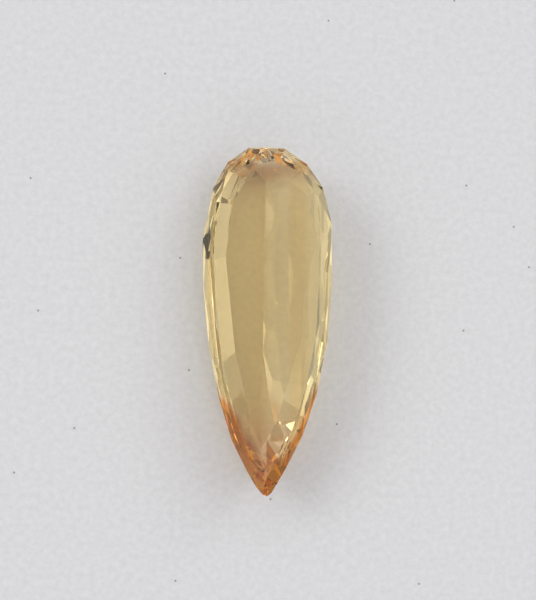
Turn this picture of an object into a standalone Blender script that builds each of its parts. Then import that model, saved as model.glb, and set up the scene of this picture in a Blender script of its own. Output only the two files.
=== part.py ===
"""Imperial topaz, cut as an elongated drop with a keel along its underside.

The stone is cut the way a cutter works it: a block is ground flat along one plane after
another. Each plane is set by an edge or a corner of the girdle and by an angle. The cut
stone is then laid down on the keel facet that it rests on.

Metres, +Z up. In the cutter's frame +X is the stone's right, +Y its round head, the
girdle's upper edge is at z = 0 and the table faces +Z.
"""

from math import cos, radians, sin

import bmesh
import bpy
from mathutils import Matrix, Vector

MM = 0.001

# Heights
CROWN_HEIGHT = 0.70 * MM  # girdle to table
GIRDLE_THICKNESS = 0.24 * MM
KEEL_DEPTH = 3.25 * MM  # girdle to keel

# Girdle corners in mm, clockwise from the head. A main facet stands on each corner that
# has a width: how far the facet reaches in from the girdle to its tip on the table.
GIRDLE = [
    ((-0.08, 10.98), 0.82),
    ((1.09, 10.92), None),
    ((2.53, 9.88), 0.72),
    ((3.54, 8.36), 0.60),
    ((4.06, 6.12), 0.68),
    ((4.09, 2.46), 0.75),
    ((3.79, -1.39), 0.70),
    ((3.11, -4.61), 0.68),
    ((2.21, -7.26), 0.66),
    ((1.19, -9.25), 0.64),
    ((0.28, -10.80), None),
    ((-0.02, -11.02), 0.90),
    ((-0.28, -10.91), None),
    ((-0.67, -10.47), None),
    ((-1.25, -9.47), 0.65),
    ((-2.20, -7.58), 0.73),
    ((-3.04, -4.86), 0.75),
    ((-3.68, -1.58), 0.79),
    ((-4.01, 1.83), 0.81),
    ((-4.08, 5.11), 0.79),
    ((-3.41, 8.46), 0.73),
    ((-2.48, 10.09), 0.80),
    ((-1.17, 10.98), None),
]

# Slopes from the level of the girdle in degrees, and how far the lower main facets reach
# in from the girdle before they meet the keel facets: at the head, the middle and the tip
STAR_SLOPE = 27.0
RIGHT = {
    "crown break": (56.0, 55.0, 56.0),
    "lower break": (74.0, 82.0, 65.0),
    "lower main": (38.0, 33.0, 36.0),
    "main width": (1.50 * MM, 1.90 * MM, 0.80 * MM),
}
LEFT = {
    "crown break": (52.0, 51.0, 52.0),
    "lower break": (84.0, 86.0, 76.0),
    "lower main": (44.0, 39.0, 37.0),
    "main width": (1.30 * MM, 1.50 * MM, 0.80 * MM),
}

SIDES_MEET = -0.75 * MM

# Keel facets: the left one is the flat that the stone rests on
LEFT_KEEL_SLOPE = 16.0
RIGHT_KEEL_SLOPE = 20.0
KEEL_OFFSET = -0.39 * MM  # the keel runs left of the middle
KEEL_SLEW = -1.0  # degrees that the keel turns from the Y axis

# Two more cuts break the right keel facet. Each has a line across it, in mm, and the
# degrees that the facet turns up on the right of that line.
SHOULDER_CUT = ((2.71, -0.13), (-0.18, 8.95), 5.0)
TIP_CUT = ((-0.36, -9.20), (1.60, -7.90), 23.0)

HALF_LENGTH = 11.0 * MM
WELD = 1e-7  # corners closer than this are one
BODY_COLOUR = (0.86, 0.60, 0.27, 1.0)


def clear_scene():
    """Remove what the file opens with."""
    for thing in list(bpy.data.objects):
        bpy.data.objects.remove(thing, do_unlink=True)


def block():
    """A rough block, larger than the stone on every side."""
    rough = bmesh.new()
    bmesh.ops.create_cube(rough, size=3 * HALF_LENGTH)
    return rough


def grind(stone, point, normal):
    """Grind the stone flat: take off all that lies past a plane, and close the cut."""
    ground = bmesh.ops.bisect_plane(
        stone,
        geom=stone.verts[:] + stone.edges[:] + stone.faces[:],
        dist=WELD,
        plane_co=point,
        plane_no=normal,
        clear_outer=True,
    )
    rim = [part for part in ground["geom_cut"] if isinstance(part, bmesh.types.BMEdge)]
    if len(rim) > 2:
        bmesh.ops.contextual_create(stone, geom=rim)


def sloping(outward, slope, up):
    """The normal of a facet that faces outward, and up or down, at a slope in degrees."""
    level = Vector((outward.x, outward.y, 0)).normalized()
    return level * sin(radians(slope)) + Vector((0, 0, up * cos(radians(slope))))


def outward_of(start, end):
    """The level direction out of the stone across a line that runs clockwise."""
    run = end - start
    return Vector((-run.y, run.x, 0)).normalized()


def along(sizes, y):
    """A size given at the head, the middle and the tip, read at one place between them."""
    head, middle, tip = sizes
    reach = y / HALF_LENGTH
    end = head if reach > 0 else tip
    return middle + (end - middle) * abs(reach)


def side(x):
    """The slopes of the side that a place is on."""
    return LEFT if x < SIDES_MEET else RIGHT


def girdle_corners():
    """The girdle's corners as points, and each main corner's outward direction and width."""
    corners = [Vector((x, y, 0)) * MM for (x, y), width in GIRDLE]
    chosen = [i for i, (place, width) in enumerate(GIRDLE) if width]
    mains = []
    for turn, i in enumerate(chosen):
        before = corners[chosen[turn - 1]]
        after = corners[chosen[(turn + 1) % len(chosen)]]
        outward = outward_of(before, corners[i]) + outward_of(corners[i], after)
        mains.append((corners[i], outward.normalized(), GIRDLE[i][1] * MM))
    return corners, mains


def keel_facet(slope, facing):
    """A point and a normal of a keel facet: facing is 1 on the right and -1 on the left."""
    slew = Matrix.Rotation(radians(KEEL_SLEW), 3, "Z")
    point = Vector((KEEL_OFFSET, 0, -GIRDLE_THICKNESS - KEEL_DEPTH))
    return point, slew @ sloping(Vector((facing, 0, 0)), slope, -1)


def height_on(facet, place):
    """The height of a facet's plane above or below a place."""
    point, normal = facet
    drop = (place.x - point.x) * normal.x + (place.y - point.y) * normal.y
    return point.z - drop / normal.z


def grind_girdle(stone, corners):
    """The upright facets of the girdle."""
    for start, end in zip(corners, corners[1:] + corners[:1]):
        grind(stone, start, outward_of(start, end))


def grind_crown(stone, corners, mains):
    """The table, then the mains, stars and breaks between it and the girdle."""
    table = Vector((0, 0, CROWN_HEIGHT))
    grind(stone, table, Vector((0, 0, 1)))
    tips = []
    for corner, outward, width in mains:
        tip = corner - outward * width + table
        rise = tip - corner
        normal = outward * rise.z + Vector((0, 0, width))
        grind(stone, corner, normal.normalized())
        tips.append(tip)
    for start, end in zip(tips, tips[1:] + tips[:1]):
        grind(stone, start, sloping(outward_of(start, end), STAR_SLOPE, 1))
    for start, end in zip(corners, corners[1:] + corners[:1]):
        middle = (start + end) / 2
        slope = along(side(middle.x)["crown break"], middle.y)
        grind(stone, start, sloping(outward_of(start, end), slope, 1))


def grind_pavilion(stone, corners, mains):
    """The keel facets, then the mains and breaks between them and the girdle."""
    left = keel_facet(LEFT_KEEL_SLOPE, -1)
    right = keel_facet(RIGHT_KEEL_SLOPE, 1)
    grind(stone, *left)
    grind(stone, *right)
    lower_edge = Vector((0, 0, -GIRDLE_THICKNESS))
    for corner, outward, _ in mains:
        slopes = side(corner.x)
        foot = corner - outward * along(slopes["main width"], corner.y)
        foot.z = max(height_on(left, foot), height_on(right, foot))
        grind(stone, foot, sloping(outward, along(slopes["lower main"], corner.y), -1))
    for start, end in zip(corners, corners[1:] + corners[:1]):
        middle = (start + end) / 2
        slope = along(side(middle.x)["lower break"], middle.y)
        grind(stone, start + lower_edge, sloping(outward_of(start, end), slope, -1))
    for cut in (SHOULDER_CUT, TIP_CUT):
        break_facet(stone, right, cut)


def break_facet(stone, facet, cut):
    """Turn a facet up by some degrees to the right of a line that lies on it."""
    start, end, turn = cut
    line = [Vector((x, y, 0)) * MM for x, y in (start, end)]
    for place in line:
        place.z = height_on(facet, place)
    axis = (line[0] - line[1]).normalized()
    grind(stone, line[0], Matrix.Rotation(radians(turn), 3, axis) @ facet[1])


def lay_down(stone):
    """Roll the stone onto its left keel facet, level it and centre it over the origin."""
    point, normal = keel_facet(LEFT_KEEL_SLOPE, -1)
    roll = normal.rotation_difference(Vector((0, 0, -1))).to_matrix()
    bmesh.ops.transform(stone, matrix=roll.to_4x4(), verts=stone.verts)
    xs, ys, zs = zip(*(corner.co for corner in stone.verts))
    middle = Vector(((min(xs) + max(xs)) / 2, (min(ys) + max(ys)) / 2, min(zs)))
    bmesh.ops.translate(stone, vec=-middle, verts=stone.verts)


def topaz_material():
    """Clear, polished, yellow to orange crystal."""
    material = bpy.data.materials.new("topaz_crystal")
    material.use_nodes = True
    shader = material.node_tree.nodes["Principled BSDF"]
    shader.inputs["Base Color"].default_value = BODY_COLOUR
    shader.inputs["Roughness"].default_value = 0.02
    shader.inputs["Metallic"].default_value = 0.0
    shader.inputs["IOR"].default_value = 1.62
    shader.inputs["Transmission Weight"].default_value = 1.0
    return material


def cut_topaz():
    """Cut the stone, lay it down and make it an object."""
    stone = block()
    corners, mains = girdle_corners()
    grind_girdle(stone, corners)
    grind_pavilion(stone, corners, mains)
    grind_crown(stone, corners, mains)
    lay_down(stone)
    bmesh.ops.remove_doubles(stone, verts=stone.verts, dist=3e-6)
    bmesh.ops.dissolve_degenerate(stone, edges=stone.edges, dist=3e-6)
    bmesh.ops.recalc_face_normals(stone, faces=stone.faces)
    mesh = bpy.data.meshes.new("topaz")
    stone.to_mesh(mesh)
    stone.free()
    mesh.materials.append(topaz_material())
    topaz = bpy.data.objects.new("topaz", mesh)
    bpy.context.scene.collection.objects.link(topaz)
    return topaz


clear_scene()
topaz = cut_topaz()
print("topaz:", len(topaz.data.vertices), "corners,", len(topaz.data.polygons), "facets")
print("size in mm:", [round(length / MM, 2) for length in topaz.dimensions])
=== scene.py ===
# %% [markdown]
# # A cut imperial topaz on white paper
#
# The stone is one clear crystal, cut as a long drop: a round head, a pointed tip, a large
# flat facet on top that is called the table, and a keel along its underside. The cut
# itself is the model in model.glb. This lesson gives the crystal its polish, its worn
# edges and its colour, lays a sheet of paper under it, and lights it as a small studio
# would.
# Some of that colour is painted light and shade.

# %% Load the cut stone
from math import cos, radians, sin

import bmesh
import bpy
from mathutils import Matrix, Vector


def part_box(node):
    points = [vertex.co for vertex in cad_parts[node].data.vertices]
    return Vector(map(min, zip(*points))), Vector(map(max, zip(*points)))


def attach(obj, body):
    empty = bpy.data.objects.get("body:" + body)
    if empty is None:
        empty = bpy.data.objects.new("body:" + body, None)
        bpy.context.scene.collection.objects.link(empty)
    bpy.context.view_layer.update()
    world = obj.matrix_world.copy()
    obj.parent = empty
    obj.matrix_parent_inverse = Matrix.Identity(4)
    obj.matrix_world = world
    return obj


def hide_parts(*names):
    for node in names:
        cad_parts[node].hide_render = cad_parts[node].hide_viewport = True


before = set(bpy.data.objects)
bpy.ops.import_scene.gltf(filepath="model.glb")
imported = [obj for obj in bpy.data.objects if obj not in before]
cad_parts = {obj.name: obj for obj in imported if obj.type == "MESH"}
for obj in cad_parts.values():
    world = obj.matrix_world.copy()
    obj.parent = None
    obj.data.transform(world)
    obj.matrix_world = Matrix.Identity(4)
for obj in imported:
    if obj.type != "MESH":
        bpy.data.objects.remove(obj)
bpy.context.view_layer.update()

MM = 0.001
rough_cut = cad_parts["topaz"]
low, high = (Vector(corner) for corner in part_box("topaz"))
print("stone, mm:", [round(length / MM, 2) for length in high - low])

# %% [markdown]
# ## The view
#
# The camera looks down at the table, leaning a little to the left and towards the tip. It
# is set up first, because what a facet shows depends on where it is seen from as much as
# on its slope. A long lens from 12 cm away keeps the outline true and still lets the view
# of the facets change from head to tip, as it does to the eye. The camera is turned by
# three axes of our own, because it looks almost straight down, where a tracking
# constraint would have no steady idea of up.

# %% Set up the camera
LENS = 115.0
SENSOR = 36.0
FRAME_HEIGHT = 37.88 * MM  # height of the view where the stone is
AIM = Vector((0.06, 1.33, 3.0)) * MM
LEAN_LEFT = 11.5  # degrees
LEAN_TO_TIP = 5.5
NEAREST = 10 * MM  # nothing closer than this is drawn

camera_data = bpy.data.cameras.new("camera")
camera_data.lens = LENS
camera_data.sensor_width = SENSOR
camera_data.clip_start = NEAREST
camera = bpy.data.objects.new("camera", camera_data)
bpy.context.scene.collection.objects.link(camera)

away = Vector((-sin(radians(LEAN_LEFT)), -sin(radians(LEAN_TO_TIP)), 1)).normalized()
across = Vector((0, 1, 0)).cross(away).normalized()
camera.location = AIM + away * (LENS / SENSOR * FRAME_HEIGHT)
camera.rotation_euler = Matrix((across, away.cross(across), away)).transposed().to_euler()
bpy.context.scene.camera = camera
print("camera is", round((camera.location - AIM).length / MM), "mm from the stone")

# %% [markdown]
# ## Whole facets
#
# The loaded mesh is made of triangles. A facet must be one flat face, or its diagonals
# would count as edges in the next step, so flat neighbours are joined first. The work is
# done on a copy: the loaded cut stays as it is and keeps its place in the simulation,
# hidden.

# %% Join the triangles into facets
FLAT_WITHIN = radians(0.3)
SAME_CORNER = 0.001 * MM


def whole_facets(source):
    """A working copy of a faceted solid, with its flat triangles joined into facets."""
    shape = bmesh.new()
    shape.from_mesh(source.data)
    bmesh.ops.remove_doubles(shape, verts=shape.verts, dist=SAME_CORNER)
    bmesh.ops.dissolve_limit(
        shape, angle_limit=FLAT_WITHIN, verts=shape.verts, edges=shape.edges
    )
    print(len(source.data.polygons), "triangles became", len(shape.faces), "facets")
    return shape


cut = whole_facets(rough_cut)

# %% [markdown]
# ## Worn edges
#
# Facets meet in edges that look sharp to the eye. Under a lens each edge is a narrow
# ribbon, a little frosted where the stone has rubbed against others, and it draws the
# thin light lines between facets. A bevel makes the ribbons as real faces, so they also
# soften the outline. A bump map would leave the edges sharp, and a subdivision surface
# would round the facets as well. Each face keeps a number, 1 on a ribbon and 0 on a
# facet, for the material to read: a clear solid needs one material all round, so that a
# ray that goes in by a facet and out by a ribbon leaves the same crystal that it entered.

# %% Bevel the edges and mark the ribbons
EDGE_WEAR = 0.03 * MM
WORN = "worn"


def wear_edges(shape, width):
    """Bevel every edge of a shape, and mark the new faces as worn."""
    mark = shape.faces.layers.float.new(WORN)
    worn = bmesh.ops.bevel(
        shape,
        geom=shape.edges[:],
        offset=width,
        segments=1,
        profile=0.5,
        affect="EDGES",
        clamp_overlap=True,
    )
    for ribbon in worn["faces"]:
        ribbon[mark] = 1.0
    return len(worn["faces"])


ribbons = wear_edges(cut, EDGE_WEAR)
stone_mesh = bpy.data.meshes.new("polished_topaz")
cut.to_mesh(stone_mesh)
cut.free()
stone_mesh.shade_flat()
stone = bpy.data.objects.new("polished_topaz", stone_mesh)
bpy.context.scene.collection.objects.link(stone)
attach(stone, "root")
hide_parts("topaz")
print(ribbons, "ribbons and corners,", round(EDGE_WEAR / MM, 3), "mm wide")

# %% [markdown]
# ## Helpers for shader trees
#
# A group of nodes is worth making when one idea, such as a colour zone, should have a
# name and a few settings that can be changed in one place. Three helpers make a group,
# add a node with its settings, and do sums between nodes.

# %% Define three helpers


def new_group(name, inputs, outputs):
    """An empty shader group with named sockets, and its input and output nodes."""
    group = bpy.data.node_groups.new(name, "ShaderNodeTree")
    for label, kind, value in inputs:
        socket = group.interface.new_socket(label, in_out="INPUT", socket_type=kind)
        socket.default_value = value
    for label, kind in outputs:
        group.interface.new_socket(label, in_out="OUTPUT", socket_type=kind)
    return group, group.nodes.new("NodeGroupInput"), group.nodes.new("NodeGroupOutput")


def add(tree, kind, values=None, links=None, **settings):
    """A new node with its settings, the values of its inputs and what feeds them."""
    node = tree.nodes.new(kind)
    for label, value in settings.items():
        setattr(node, label, value)
    for label, value in (values or {}).items():
        node.inputs[label].default_value = value
    for label, source in (links or {}).items():
        tree.links.new(source, node.inputs[label])
    return node


def math_node(tree, operation, first, second=None):
    """The result of a Math node, whose values are numbers or other nodes' outputs."""
    node = add(tree, "ShaderNodeMath", operation=operation)
    for label, value in ((0, first), (1, second)):
        if isinstance(value, bpy.types.NodeSocket):
            tree.links.new(value, node.inputs[label])
        elif value is not None:
            node.inputs[label].default_value = value
    return node.outputs["Value"]


# %% [markdown]
# ## Where the colours lie
#
# A topaz doesn't grow in one colour. This one is straw yellow over most of its length,
# and towards the tip it turns peach and then amber. Other zones are painted light and
# shade: a rose brown painted shadow across the head, a grey-pink painted reflection at
# its very end, a pale strip of painted light right of the keel, and a wedge of amber, a
# painted internal reflection, that points up from the tip. A honey band runs beside the
# pale strip. Each edge of a zone has two distances: where the colour starts, and where
# it is full. The step between them is smooth.
#
# Some way under the table only the straw is left. Light that runs the length of the
# stone passes through its lower part, and would carry the amber of the tip into the head.

# %% Name the edges of the zones
# The rose brown across the head is a painted shadow.
PAINTED_HEAD_SHADOW_EDGE = (7.9, 9.7)  # mm along the stone, + towards the head
# The grey-pink at the head's very end is a painted reflection.
PAINTED_HEAD_REFLECTION_EDGE = (9.9, 10.4)
PEACH_EDGE = (-4.5, -10.5)
AMBER_EDGE = (-9.3, -10.4)  # on the middle line, and sooner towards the sides
# The pale strip right of the keel is painted light.
PAINTED_LIGHT_EDGES = (-0.24, -0.18), (1.6, 0.8)  # mm across the stone, + to the right
HONEY_EDGES = (0.9, 1.4), (2.4, 1.9)
# The wedge that points up from the tip is a painted internal reflection.
PAINTED_REFLECTION_WEDGE_EDGE = (-7.7, -8.0)  # along a line that slants across the stone
PAINTED_REFLECTION_WEDGE_LEFT_EDGE = (-0.30, -0.24)
PAINTED_REFLECTION_WEDGE_SLANT = 1.8
DEPTH_EDGE = (2.3, 1.0)  # mm under the table
BANDS_PER_METRE = 350.0
print("zones end", DEPTH_EDGE[0], "mm under the table")

# %% [markdown]
# ## Masks for the zones
#
# A mask is a number over the surface: 0 where a zone is absent and 1 where it is full. A
# strip is the product of the masks of its two edges.

# %% Define the masks


def zone_mask(group, distance, edge):
    """A mask that goes softly from 0 to 1 between the two distances of an edge, in mm."""
    begins, full = edge
    return add(
        group,
        "ShaderNodeMapRange",
        {"From Min": begins * MM, "From Max": full * MM},
        {"Value": distance},
        interpolation_type="SMOOTHSTEP",
    ).outputs["Result"]


def strip_mask(group, distance, edges):
    """A mask that is 1 between two edges."""
    near_side, far_side = (zone_mask(group, distance, edge) for edge in edges)
    return math_node(group, "MULTIPLY", near_side, far_side)


def depth_mask(group, place, given):
    """A mask that fades out with the depth under the table."""
    height = add(
        group,
        "ShaderNodeVectorMath",
        None,
        {0: place, 1: given.outputs["Table Facing"]},
        operation="DOT_PRODUCT",
    ).outputs["Value"]
    depth = math_node(group, "SUBTRACT", given.outputs["Table Height"], height)
    return zone_mask(group, depth, DEPTH_EDGE)


def amber_and_painted_reflection_mask(group, along, across, given):
    """The amber tip, which reaches up the sides, and a painted reflection: a wedge up from it.
    """
    from_middle = math_node(group, "ABSOLUTE", across)
    reach = math_node(group, "MULTIPLY", from_middle, given.outputs["Reach Up The Sides"])
    tip = zone_mask(group, math_node(group, "SUBTRACT", along, reach), AMBER_EDGE)
    slant = math_node(group, "MULTIPLY", across, PAINTED_REFLECTION_WEDGE_SLANT)
    below = zone_mask(group, math_node(group, "ADD", along, slant), PAINTED_REFLECTION_WEDGE_EDGE)
    right = zone_mask(group, across, PAINTED_REFLECTION_WEDGE_LEFT_EDGE)
    return math_node(group, "MAXIMUM", tip, math_node(group, "MULTIPLY", below, right))


# %% [markdown]
# ## The colour zones and the painted light and shade as a group
#
# The amber reaches further up along the two sides than in the middle, as zones do that
# followed the sloping end of the crystal while it grew. Noise makes the zones' ends
# uneven. Everything is read from the object's own coordinates in metres, so the colour
# stays put in every view, and the zones are laid over the straw one after another.

# %% Build the group
# Of these colours, rose is a painted shadow, blush a painted reflection and pale painted light;
# amber also fills the wedge, a painted internal reflection.
ZONE_COLOURS = {
    "Painted Head Reflection": (0.92, 0.84, 0.82, 1),
    "Painted Head Shadow": (0.62, 0.36, 0.17, 1),
    "Straw": (1.0, 0.835, 0.465, 1),
    "Honey": (0.93, 0.71, 0.31, 1),
    "Painted Light Strip": (1.0, 0.885, 0.56, 1),
    "Peach": (1.0, 0.46, 0.19, 1),
    "Amber": (0.54, 0.105, 0.002, 1),
}


def zones_and_painted_light():
    """Seven colours from head to tip and across: the stone's own, and painted shadow, light and
    reflection.
    """
    colours = [(zone, "NodeSocketColor", tint) for zone, tint in ZONE_COLOURS.items()]
    group, given, result = new_group(
        "colour zones and painted light",
        colours
        + [
            ("Unevenness", "NodeSocketFloat", 0.002),
            ("Reach Up The Sides", "NodeSocketFloat", 1.9),
            ("Table Facing", "NodeSocketVector", (0.0, 0.0, 1.0)),
            ("Table Height", "NodeSocketFloat", 0.0),
        ],
        [("Color", "NodeSocketColor")],
    )
    place = add(group, "ShaderNodeTexCoord").outputs["Object"]
    noise = {"Scale": BANDS_PER_METRE, "Detail": 2.0}
    bands = add(group, "ShaderNodeTexNoise", noise, {"Vector": place})
    parts = add(group, "ShaderNodeSeparateXYZ", None, {"Vector": place})
    across = parts.outputs["X"]
    centred = math_node(group, "SUBTRACT", bands.outputs["Fac"], 0.5)
    shift = math_node(group, "MULTIPLY", centred, given.outputs["Unevenness"])
    along = math_node(group, "ADD", parts.outputs["Y"], shift)
    # The pale strip is painted light, the rose head a painted shadow, the grey-pink end and the
    # amber wedge painted reflections.
    masks = {
        "Painted Light Strip": strip_mask(group, across, PAINTED_LIGHT_EDGES),
        "Honey": strip_mask(group, across, HONEY_EDGES),
        "Painted Head Shadow": zone_mask(group, along, PAINTED_HEAD_SHADOW_EDGE),
        "Painted Head Reflection": zone_mask(group, along, PAINTED_HEAD_REFLECTION_EDGE),
        "Peach": zone_mask(group, along, PEACH_EDGE),
        "Amber": amber_and_painted_reflection_mask(group, along, across, given),
    }
    upper = depth_mask(group, place, given)
    colour = given.outputs["Straw"]
    for zone, mask in masks.items():
        layer = {
            "Fac": math_node(group, "MULTIPLY", mask, upper),
            "Color1": colour,
            "Color2": given.outputs[zone],
        }
        colour = add(group, "ShaderNodeMixRGB", None, layer).outputs["Color"]
    group.links.new(colour, result.inputs["Color"])
    return group


zones = zones_and_painted_light()
print("group:", zones.name, "with", len(zones.nodes), "nodes")

# %% [markdown]
# ## The crystal
#
# Topaz bends light more than window glass does: its index of refraction is 1.62. That
# number decides which facets are windows to the paper and which are mirrors, so it isn't
# a matter of taste. A little of the colour is all through the stone, so a long way
# through it is deeper than a short one. A volume that takes away some blue, less green
# and hardly any red gives that. Its numbers are how strongly light fades, per metre. The
# rest of the colour tints the light as it passes a facet: light that is caught near the
# rim goes so far inside the stone that a stronger volume would turn the rim deep orange.
# Polished facets have no roughness, and the worn ribbons have some.

# %% Make the crystal
TOPAZ_IOR = 1.62
FADE_PER_METRE = (0.5, 3.0, 12.0)  # red, green and blue
DENSITY = 90.0
EDGE_ROUGHNESS = 0.4


def crystal_material(table):
    """Clear topaz with its zones and painted light and shade under the table, a tinted depth
    and its worn edges.
    """
    material = bpy.data.materials.new("topaz_crystal")
    material.use_nodes = True
    tree = material.node_tree
    shader = tree.nodes["Principled BSDF"]
    shader.inputs["IOR"].default_value = TOPAZ_IOR
    shader.inputs["Transmission Weight"].default_value = 1.0
    colour = add(
        tree,
        "ShaderNodeGroup",
        {"Table Facing": table.normal, "Table Height": table.center.dot(table.normal)},
        node_tree=zones,
    )
    tree.links.new(colour.outputs["Color"], shader.inputs["Base Color"])
    worn = add(tree, "ShaderNodeAttribute", attribute_name=WORN)
    frost = math_node(tree, "MULTIPLY", worn.outputs["Fac"], EDGE_ROUGHNESS)
    tree.links.new(frost, shader.inputs["Roughness"])
    depth = add(tree, "ShaderNodeVolumeAbsorption", {"Density": DENSITY})
    depth.inputs["Color"].default_value = [1 - fade / DENSITY for fade in FADE_PER_METRE] + [1]
    tree.links.new(depth.outputs["Volume"], tree.nodes["Material Output"].inputs["Volume"])
    return material


largest = max(stone_mesh.polygons, key=lambda facet: facet.area)
stone_mesh.materials.clear()
stone_mesh.materials.append(crystal_material(largest))
print("material:", stone_mesh.materials[0].name)

# %% [markdown]
# ## The paper
#
# The stone lies on a sheet of matt paper. Paper is never one even white: its fibres
# clump, and a few dark specks are pressed into it. A noise with some fine detail gives
# the clumps, and the cells of a flat Voronoi pattern, kept only very near their centres,
# give the specks. The same noise is the height of a shallow bump.

# %% Make the paper's material
PAPER_DARK = (0.72, 0.715, 0.715, 1)
PAPER_LIGHT = (0.92, 0.915, 0.925, 1)
CLUMPS_PER_METRE = 2600.0
SPECKS_PER_METRE = 115.0
SPECK_SIZE = 0.010  # of the distance between two specks
SPECK = (0.34, 0.33, 0.32, 1)
PAPER_ROUGHNESS = 0.92
BUMP_STRENGTH = 0.35
BUMP_HEIGHT = 0.05 * MM


def paper_material():
    """Matt white paper with clumped fibres and a few specks."""
    material = bpy.data.materials.new("matt_paper")
    material.use_nodes = True
    tree = material.node_tree
    shader = tree.nodes["Principled BSDF"]
    shader.inputs["Roughness"].default_value = PAPER_ROUGHNESS
    place = add(tree, "ShaderNodeTexCoord").outputs["Object"]
    clumps = add(
        tree,
        "ShaderNodeTexNoise",
        {"Scale": CLUMPS_PER_METRE, "Detail": 4.0, "Roughness": 0.6},
        {"Vector": place},
    )
    fibres = add(
        tree,
        "ShaderNodeMixRGB",
        {"Color1": PAPER_DARK, "Color2": PAPER_LIGHT},
        {"Fac": clumps.outputs["Fac"]},
    )
    cells = add(
        tree,
        "ShaderNodeTexVoronoi",
        {"Scale": SPECKS_PER_METRE},
        {"Vector": place},
        voronoi_dimensions="2D",
    )
    near = add(
        tree,
        "ShaderNodeMapRange",
        {"From Min": SPECK_SIZE, "From Max": SPECK_SIZE / 2},
        {"Value": cells.outputs["Distance"]},
    )
    specked = add(
        tree,
        "ShaderNodeMixRGB",
        {"Color2": SPECK},
        {"Fac": near.outputs["Result"], "Color1": fibres.outputs["Color"]},
    )
    tree.links.new(specked.outputs["Color"], shader.inputs["Base Color"])
    relief = add(
        tree,
        "ShaderNodeBump",
        {"Strength": BUMP_STRENGTH, "Distance": BUMP_HEIGHT},
        {"Height": clumps.outputs["Fac"]},
    )
    tree.links.new(relief.outputs["Normal"], shader.inputs["Normal"])
    return material


# %% [markdown]
# ## The sheet
#
# One square, much larger than the camera sees, so that its edge is nowhere near. It
# lies a hair below the stone, because two faces in one place would flicker.

# %% Lay the paper
PAPER_HALF = 0.5
PAPER_GAP = 0.02 * MM

sheet = bpy.data.meshes.new("paper")
corners = [(-1, -1), (1, -1), (1, 1), (-1, 1)]
sheet.from_pydata([(x * PAPER_HALF, y * PAPER_HALF, 0) for x, y in corners], [], [(0, 1, 2, 3)])
sheet.materials.append(paper_material())
paper = bpy.data.objects.new("paper", sheet)
paper.location.z = low.z - PAPER_GAP
bpy.context.scene.collection.objects.link(paper)
print("paper:", 2 * PAPER_HALF, "m wide,", round(PAPER_GAP / MM, 3), "mm below the stone")

# %% [markdown]
# ## The light
#
# A cut stone shows nothing but its surroundings and the paper under it, so the light is
# a room and not a lamp. The room is pale overhead and dimmer near the horizon, and what
# stands in it was placed where the facets look. The left half of the table looks at the
# lamp box past the stone's right shoulder, which has a low lamp beside it. The side strip,
# on the left, is seen right of the keel, and the soft window above it is what the polish
# of the table reflects. The ceiling is dimmer beyond the head, where the rims look. The
# four dark patches stand for people and furniture: without something dark to reflect, the
# facets would have no contrast at all. Each is a round patch of the sky, given by its
# azimuth from +X, its elevation, its half size and the softness of its edge, all in
# degrees, and then its brightness.

# %% Say what is in the room
HORIZON = (0.29, 0.29, 0.30, 1)
CEILING = (1.07, 1.07, 1.09, 1)
CEILING_FROM = 0.8  # how far up the dimness of the horizon reaches
PATCHES = {
    "dim ceiling": (75, 67, 16, 4, (0.50, 0.50, 0.52, 1)),
    "lamp box": (25, 50, 10, 3, (1.6, 1.6, 1.6, 1)),
    "low lamp": (42, 30, 8, 3, (3.0, 3.0, 3.0, 1)),
    "soft window": (166, 70, 8, 3, (1.1, 1.1, 1.1, 1)),
    "side strip": (160, 41, 12, 3, (5.0, 5.0, 5.0, 1)),
    "dark overhead": (-3, 72, 9, 3, (0.04, 0.04, 0.04, 1)),
    "dark figure": (-118, 56, 17, 5, (0.05, 0.05, 0.05, 1)),
    "dark shoulder": (-158, 56, 14, 3, (0.05, 0.05, 0.05, 1)),
    "dark corner": (-40, 46, 14, 4, (0.06, 0.06, 0.06, 1)),
}
print("in the room:", ", ".join(PATCHES))

# %% [markdown]
# ## Patches of sky
#
# A direction is inside a round patch when it is near enough to the patch's middle. The
# dot product of two unit vectors is the cosine of the angle between them, so it measures
# just that, and one smooth step makes the soft edge.

# %% Define a patch
world = bpy.data.worlds.new("studio")
bpy.context.scene.world = world
world.use_nodes = True
sky = world.node_tree
sky.nodes.clear()
direction = add(sky, "ShaderNodeTexCoord").outputs["Generated"]


def towards(azimuth, elevation):
    """The unit vector at an azimuth from +X and an elevation, both in degrees."""
    level = cos(radians(elevation))
    turn = radians(azimuth)
    return (level * cos(turn), level * sin(turn), sin(radians(elevation)))


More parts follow.
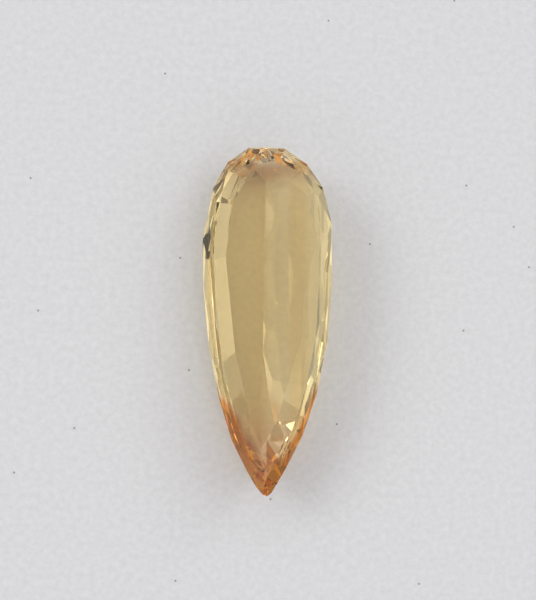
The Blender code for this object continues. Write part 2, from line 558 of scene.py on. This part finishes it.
def patch(azimuth, elevation, half_size, soft):
    """A mask that is 1 within an angle of a direction and fades to 0 around it."""
    nearness = add(
        sky,
        "ShaderNodeVectorMath",
        {1: towards(azimuth, elevation)},
        {0: direction},
        operation="DOT_PRODUCT",
    )
    return add(
        sky,
        "ShaderNodeMapRange",
        {
            "From Min": cos(radians(half_size + soft)),
            "From Max": cos(radians(half_size - soft)),
        },
        {"Value": nearness.outputs["Value"]},
        interpolation_type="SMOOTHSTEP",
    ).outputs["Result"]


def lay_over(mask, under, over):
    """Lay one colour over another where a mask is 1."""
    blend = add(sky, "ShaderNodeMixRGB", {"Color2": over}, {"Fac": mask})
    if isinstance(under, bpy.types.NodeSocket):
        sky.links.new(under, blend.inputs["Color1"])
    else:
        blend.inputs["Color1"].default_value = under
    return blend.outputs["Color"]


# %% [markdown]
# ## The room
#
# The ceiling's light comes first, and each thing in the room is laid over it.

# %% Surround the stone with soft light
height = add(sky, "ShaderNodeSeparateXYZ", None, {"Vector": direction})
rise = add(
    sky,
    "ShaderNodeMapRange",
    {"From Max": CEILING_FROM},
    {"Value": height.outputs["Z"]},
    interpolation_type="SMOOTHSTEP",
)
room = lay_over(rise.outputs["Result"], HORIZON, CEILING)
for azimuth, elevation, half_size, soft, brightness in PATCHES.values():
    room = lay_over(patch(azimuth, elevation, half_size, soft), room, brightness)
background = add(sky, "ShaderNodeBackground", None, {"Color": room})
add(sky, "ShaderNodeOutputWorld", None, {"Surface": background.outputs["Background"]})
print("sky of", len(sky.nodes), "nodes")

# %% [markdown]
# ## Let light travel far enough
#
# A ray may be thrown from facet to facet a dozen times before it leaves a cut stone. The
# usual limits on bounces would stop it inside and leave black facets. The plain view
# transform keeps the paper as white as it is lit.

# %% Allow long paths, then finish
MOST_BOUNCES = 32
MOST_INSIDE = 24  # of one kind: mirrored, or passing a facet

scene = bpy.context.scene
scene.view_settings.view_transform = "Standard"
scene.cycles.max_bounces = MOST_BOUNCES
scene.cycles.glossy_bounces = MOST_INSIDE
scene.cycles.transmission_bounces = MOST_INSIDE
